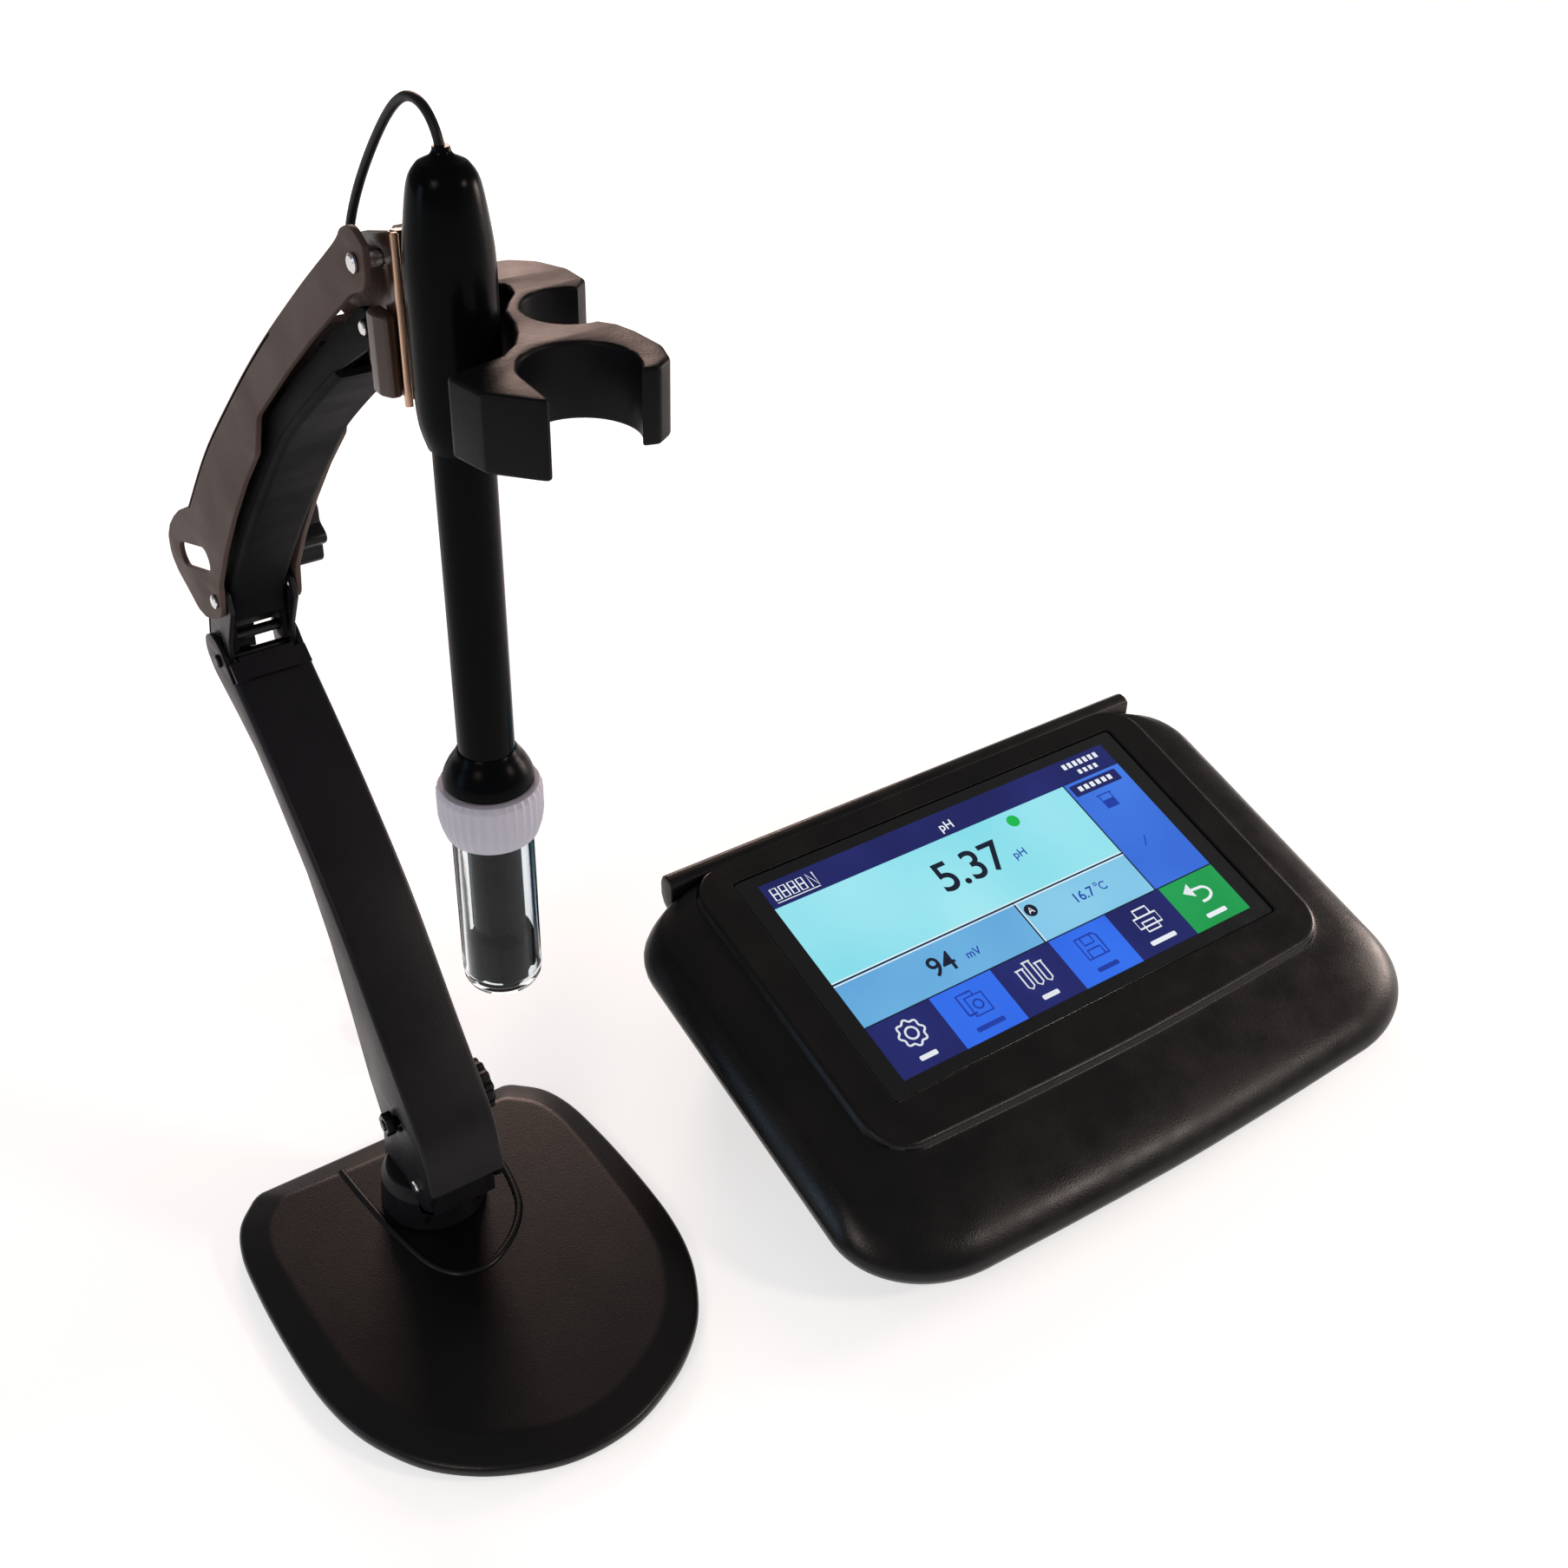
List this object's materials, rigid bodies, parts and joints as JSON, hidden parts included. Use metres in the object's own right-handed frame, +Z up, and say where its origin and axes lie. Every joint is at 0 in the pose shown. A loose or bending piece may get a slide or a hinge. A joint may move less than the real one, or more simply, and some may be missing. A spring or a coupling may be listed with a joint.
{
  "type": "ph meter",
  "caption": "Wedge-shaped benchtop meter with a large tilted touch display, beside a jointed electrode stand that holds a pH electrode in its storage bottle.",
  "frame": {"origin": "middle of the set's box at the level of the table, without the electrode's lead", "axes": "+X across the display from the stand to the meter's far side, +Y away from the user, +Z up"},
  "size_m": [0.387, 0.2487, 0.3506],
  "materials": {
    "case_plastic": "fine moulded texture, satin",
    "screw_steel": "plated",
    "rubber_foot": "matte",
    "display_glass": "polished cover glass over a lit display",
    "lcd_frame": "satin",
    "connector_nickel": "nickel plated",
    "connector_plastic": "satin",
    "stand_paint": "fine satin powder coat",
    "pin_steel": "bright",
    "moulded_plastic": "satin",
    "probe_plastic": "satin",
    "probe_rubber": "matte",
    "bulb_glass": "polished",
    "clear_plastic": "polished clear moulding",
    "lead_jacket": "matte"
  },
  "bodies": {
    "root": {"upper_case": "case_plastic", "lower_case": "case_plastic", "case_screw_1": "screw_steel", "case_screw_2": "screw_steel", "case_screw_3": "screw_steel", "case_screw_4": "screw_steel", "foot_1": "rubber_foot", "foot_2": "rubber_foot", "foot_3": "rubber_foot", "foot_4": "rubber_foot", "display_glass": "display_glass", "lcd_module": "lcd_frame", "rear_trim_bar": "case_plastic", "rear_panel": "case_plastic", "bnc_socket": "connector_nickel", "reference_socket": "connector_plastic", "temperature_socket": "connector_nickel", "power_jack": "connector_plastic", "usb_port": "connector_nickel", "base_plate": "stand_paint", "base_pad": "rubber_foot", "pivot_sleeve": "pin_steel", "lead_base_run": "lead_jacket", "lead_tail": "lead_jacket", "lead_coil": "lead_jacket", "lead_bnc_plug": "connector_nickel"},
    "rocker": {"power_rocker": "connector_plastic"},
    "turret": {"turret": "stand_paint", "base_pin": "pin_steel", "lower_link_base_pin": "pin_steel", "base_bolt": "pin_steel", "base_bolt_nut": "pin_steel", "lead_turret_run": "lead_jacket"},
    "base_knob": {"base_knob": "moulded_plastic"},
    "lower_arm": {"lower_arm_channel": "stand_paint", "lead_lower_run": "lead_jacket"},
    "lower_link": {"lower_link": "stand_paint"},
    "elbow": {"elbow_bracket": "stand_paint", "lower_arm_top_pin": "pin_steel", "lower_link_top_pin": "pin_steel", "elbow_outer_pin_left": "pin_steel", "elbow_outer_pin_right": "pin_steel", "elbow_inner_pin": "pin_steel", "elbow_bolt": "pin_steel"},
    "elbow_knob": {"elbow_knob": "moulded_plastic"},
    "upper_arm": {"upper_arm_channel": "stand_paint", "lead_upper_run": "lead_jacket"},
    "upper_link": {"upper_inner_channel": "stand_paint"},
    "head": {"head_bracket": "stand_paint", "head_upper_pin": "pin_steel", "head_lower_pin": "pin_steel", "electrode_holder": "moulded_plastic", "holder_wing": "moulded_plastic", "electrode_cap": "probe_plastic", "electrode_shaft": "probe_plastic", "glass_bulb": "bulb_glass", "lead_loop": "lead_jacket"},
    "bottle": {"storage_bottle": "clear_plastic", "bottle_seal": "probe_rubber"},
    "bottle_ring": {"bottle_ring": "clear_plastic"}
  },
  "joints": [
    {"name": "stand_swivel", "type": "hinge", "parent": "root", "child": "turret", "pos_m": [-0.13405, 0.00315, 0.02], "axis": [0, 0, 1], "range_deg": [-90, 25]},
    {"name": "lower_tilt", "type": "hinge", "parent": "turret", "child": "lower_arm", "pos_m": [-0.13405, -0.01385, 0.034], "axis": [1, 0, 0], "range_deg": [-8, 12]},
    {"name": "lower_link_tilt", "type": "hinge", "parent": "turret", "child": "lower_link", "pos_m": [-0.13405, -0.0096, 0.0305], "axis": [1, 0, 0], "range_deg": [-8, 12]},
    {"name": "elbow_level", "type": "hinge", "parent": "lower_arm", "child": "elbow", "pos_m": [-0.13405, 0.08915, 0.1593], "axis": [1, 0, 0], "range_deg": [-12, 8]},
    {"name": "upper_tilt", "type": "hinge", "parent": "elbow", "child": "upper_arm", "pos_m": [-0.13405, 0.08285, 0.182], "axis": [1, 0, 0], "range_deg": [-10, 28]},
    {"name": "upper_link_tilt", "type": "hinge", "parent": "elbow", "child": "upper_link", "pos_m": [-0.13405, 0.08905, 0.166], "axis": [1, 0, 0], "range_deg": [-10, 28]},
    {"name": "head_level", "type": "hinge", "parent": "upper_arm", "child": "head", "pos_m": [-0.13405, -0.03935, 0.3162], "axis": [1, 0, 0], "range_deg": [-28, 10]},
    {"name": "bottle_pull", "type": "slide", "parent": "head", "child": "bottle", "axis": [0, 0, -1], "range_m": [0, 0.045]},
    {"name": "bottle_ring_turn", "type": "hinge", "parent": "bottle", "child": "bottle_ring", "pos_m": [-0.13405, -0.05665, 0.19], "axis": [0, 0, 1], "continuous": true},
    {"name": "base_knob_turn", "type": "hinge", "parent": "turret", "child": "base_knob", "pos_m": [-0.13405, -0.00185, 0.0505], "axis": [1, 0, 0], "continuous": true},
    {"name": "elbow_knob_turn", "type": "hinge", "parent": "elbow", "child": "elbow_knob", "pos_m": [-0.13405, 0.09165, 0.193], "axis": [1, 0, 0], "continuous": true},
    {"name": "power_rocker_tip", "type": "hinge", "parent": "root", "child": "rocker", "pos_m": [0.12845, 0.02515, 0.027], "axis": [1, 0, 0], "range_deg": [-8, 8]}
  ],
  "couplings": [
    {"joint": "lower_link_tilt", "follows": "lower_tilt", "ratio": 1},
    {"joint": "elbow_level", "follows": "lower_tilt", "ratio": -1},
    {"joint": "upper_link_tilt", "follows": "upper_tilt", "ratio": 1},
    {"joint": "head_level", "follows": "upper_tilt", "ratio": -1}
  ]
}
